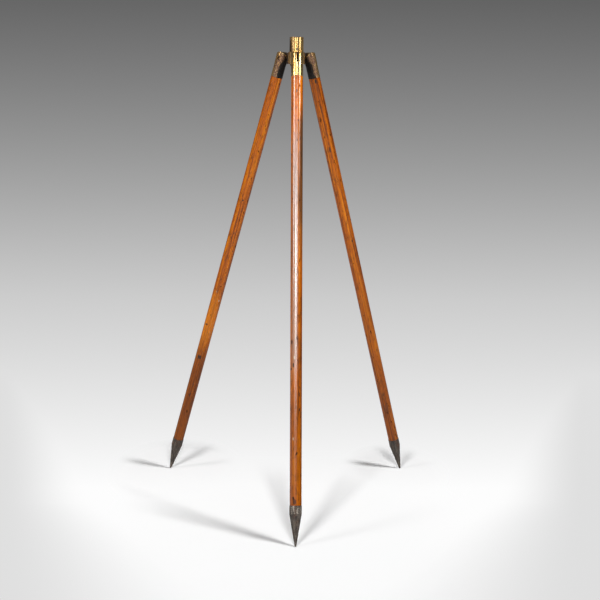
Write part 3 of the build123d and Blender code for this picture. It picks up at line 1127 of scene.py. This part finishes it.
@dataclass
class Studio:
    """Paper that runs up into a backdrop, four softboxes, a dim room and the camera.

    Attributes:
        aim_height: Height above the floor that the softboxes aim at.
        room_dim: Light of the darkest part of the room, to which the next three add.
        beyond: Grey that the camera sees past the paper.
    """

    lamps: tuple[Softbox, ...] = (
        Softbox("right_softbox", 60.0, 34.0, 1.60, 1.50, 0.60),
        Softbox("front_softbox", 4.0, 25.5, 1.10, 1.50, 0.34),
        Softbox("left_front_softbox", -23.0, 23.5, 1.40, 1.30, 0.46),
        Softbox("left_softbox", -64.0, 25.0, 1.50, 2.60, 0.40),
    )
    aim_height: float = 0.55
    paper: Paper = Paper()
    half_width: float = 7.0
    front_edge: float = -7.0
    back_edge: float = 4.2
    cove_radius: float = 0.8
    cove_steps: int = 24
    wall_height: float = 4.0
    room_dim: float = 0.03
    room_back: float = 0.06
    room_above: float = 0.04
    room_left: float = 0.04
    beyond: float = 0.30
    camera_orbit: float = -2.802
    camera_distance: float = 3.140
    camera_height: float = 1.1445
    camera_pan: float = -3.214
    camera_pitch: float = 10.395
    camera_roll: float = 1.103
    camera_lens: float = 67.66
    camera_sensor: float = 36.0
    camera_clip: float = 60.0

    def build(self) -> None:
        """Build the paper, room, lamps and camera."""
        self._sweep()
        self._room()
        target = Vector((0, 0, FLOOR_Z + self.aim_height))
        for lamp in self.lamps:
            lamp.hang(target)
        self._camera()

    def _sweep(self) -> None:
        """Sweep the floor and backdrop as one sheet of paper."""
        bm = bmesh.new()
        ends = [bm.verts.new((x, self.front_edge, FLOOR_Z)) for x in (-self.half_width, self.half_width)]
        back = self._pull(bm, [bm.edges.new(ends)], (0, self.back_edge - self.front_edge, 0))
        centre = (0, self.back_edge, FLOOR_Z + self.cove_radius)
        spun = bmesh.ops.spin(
            bm, geom=back, cent=centre, axis=(1, 0, 0), angle=math.pi / 2, steps=self.cove_steps,
        )
        last = [g for g in spun["geom_last"] if isinstance(g, bmesh.types.BMEdge)]
        self._pull(bm, last, (0, 0, self.wall_height))
        bmesh.ops.remove_doubles(bm, verts=bm.verts[:], dist=WELD)
        link_mesh("studio_floor", bm, self.paper.make())

    @staticmethod
    def _pull(bm: bmesh.types.BMesh, edges: list, way: Triple) -> list[bmesh.types.BMEdge]:
        """Pull edges out into faces and give back their far edges."""
        grown = bmesh.ops.extrude_edge_only(bm, edges=edges)["geom"]
        moved = [g for g in grown if isinstance(g, bmesh.types.BMVert)]
        bmesh.ops.translate(bm, verts=moved, vec=way)
        return [g for g in grown if isinstance(g, bmesh.types.BMEdge) and all(v in moved for v in g.verts)]

    def _room(self) -> None:
        """Dim room: darkest behind the camera, grey overhead and behind the backdrop."""
        world = bpy.data.worlds.new("studio_room")
        bpy.context.scene.world = world
        kit = NodeKit(world)
        across, depth, height = kit.split(kit.add("ShaderNodeTexCoord"))
        level = self.room_dim + depth.rise(-0.6, 0.9) * self.room_back
        level = level + height.rise(0.1, 1.0) * self.room_above
        level = level + across.rise(-0.4, -1.0) * self.room_left
        room = kit.add("ShaderNodeBackground", {}, {"Color": kit.grey(level), "Strength": 1.0})
        view = kit.add("ShaderNodeBackground", {}, {"Color": (*[self.beyond] * 3, 1.0), "Strength": 1.0})
        (camera,) = kit.rays("Is Camera Ray")
        kit.finish(kit.add("ShaderNodeMixShader", {}, {0: camera, 1: room, 2: view}), "ShaderNodeOutputWorld")

    def _camera(self) -> None:
        """Stand the camera in front of the tripod, a little above its middle, looking slightly down."""
        lens = bpy.data.cameras.new("studio_camera")
        lens.lens = self.camera_lens
        lens.sensor_width = self.camera_sensor
        lens.clip_end = self.camera_clip
        camera = bpy.data.objects.new("studio_camera", lens)
        bpy.context.scene.collection.objects.link(camera)
        orbit = math.radians(self.camera_orbit)
        place = Vector((math.sin(orbit), -math.cos(orbit), 0)) * self.camera_distance
        place.z = FLOOR_Z + self.camera_height
        turn = Matrix.Rotation(math.radians(self.camera_pan), 4, "Z")
        tilt = Matrix.Rotation(math.radians(90 - self.camera_pitch), 4, "X")
        roll = Matrix.Rotation(math.radians(self.camera_roll), 4, "Z")
        camera.matrix_world = Matrix.Translation(place) @ turn @ tilt @ roll
        bpy.context.scene.camera = camera
        bpy.context.scene.view_settings.view_transform = "Standard"


FRONT_KNOCKS = (
    Knock(Mark.DING, -5.0, -0.095, 2.0 * MM, 5.5 * MM),
    Knock(Mark.DING, -45.0, -0.130, 1.5 * MM, 3.0 * MM),
    Knock(Mark.DING, 10.0, -0.175, 1.5 * MM, 2.5 * MM),
    Knock(Mark.DING, 30.0, -0.225, 1.5 * MM, 3.0 * MM),
    Knock(Mark.STAIN, -55.0, -0.765, 4.5 * MM, 7.0 * MM),
    Knock(Mark.CHIP, -20.0, -0.805, 2.0 * MM, 5.0 * MM),
    Knock(Mark.DING, -30.0, -0.825, 2.5 * MM, 7.5 * MM),
    Knock(Mark.DING, -55.0, -0.835, 2.0 * MM, 3.0 * MM),
    Knock(Mark.DING, 35.0, -0.940, 2.0 * MM, 5.0 * MM),
    Knock(Mark.CHIP, -30.0, -1.015, 1.5 * MM, 4.0 * MM),
    Knock(Mark.STAIN, -15.0, -1.175, 4.0 * MM, 8.0 * MM),
)
RIGHT_KNOCKS = (
    Knock(Mark.DING, -120.0, -0.060, 3.0 * MM, 6.0 * MM),
    Knock(Mark.STAIN, -125.0, -0.255, 3.0 * MM, 9.0 * MM),
    Knock(Mark.DING, -100.0, -0.530, 2.0 * MM, 4.0 * MM),
    Knock(Mark.STAIN, -130.0, -1.025, 3.0 * MM, 8.0 * MM),
)
LEFT_KNOCKS = (
    Knock(Mark.FADED, 100.0, -0.790, 24.0 * MM, 90.0 * MM),
    Knock(Mark.DING, 105.0, -0.905, 5.5 * MM, 8.0 * MM),
    Knock(Mark.STAIN, 80.0, -0.800, 6.0 * MM, 3.0 * MM),
    Knock(Mark.CHIP, 150.0, -0.720, 2.0 * MM, 3.0 * MM),
    Knock(Mark.DING, 115.0, -0.410, 2.0 * MM, 4.0 * MM),
    Knock(Mark.DING, 110.0, -1.030, 2.0 * MM, 6.0 * MM),
)


def main() -> None:
    """Build the studio, the head and the three legs."""
    logging.basicConfig(level=logging.INFO, format="%(name)s: %(message)s")
    Studio().build()
    Head().build()
    rubbed_cap = OldBrass(browned=0.32, roughness=0.33)
    # The side caps' rounded tops carry a painted highlight.
    brown_cap = OldBrass(browned=0.66, roughness=0.30, crest_highlight=0.9, glints=0.45)
    polished_wood = VarnishedWood(
        pale=(0.76, 0.215, 0.002),
        amber=(0.51, 0.116, 0.001),
        coat_roughness=0.23,
        coat_ior=2.0,
        coat_weight=0.62,
        soiled=0.80,
        dulled=0.50,
        sheen_bloomed=0.62,
        knocks=FRONT_KNOCKS,
    )
    worn_wood = VarnishedWood(
        pale=(0.58, 0.168, 0.001),
        amber=(0.38, 0.086, 0.001),
        darkening=0.42,
        knocks=RIGHT_KNOCKS,
    )
    darker_wood = VarnishedWood(
        pale=(0.54, 0.155, 0.001),
        amber=(0.36, 0.082, 0.001),
        darkening=0.62,
        top=-0.80,
        bottom=-0.96,
        knocks=LEFT_KNOCKS,
    )
    iron = ForgedIron()
    scuffed_iron = ForgedIron(scuffed=0.9)
    # Each cap's lit outer side is painted brighter and its inner side painted black as shade.
    legs = (
        Leg(LegPlace(Side.FRONT), 2.0, polished_wood, scuffed_iron, rubbed_cap, rubbed=0.0, painted_shade=0.9),
        Leg(LegPlace(Side.RIGHT), 5.0, worn_wood, iron, brown_cap, rubbed=0.30, painted_shade=1.0),
        Leg(LegPlace(Side.LEFT), 11.0, darker_wood, iron, brown_cap, rubbed=0.18, painted_shade=1.0),
    )
    for leg in legs:
        leg.build()


if __name__ == "__main__":
    main()
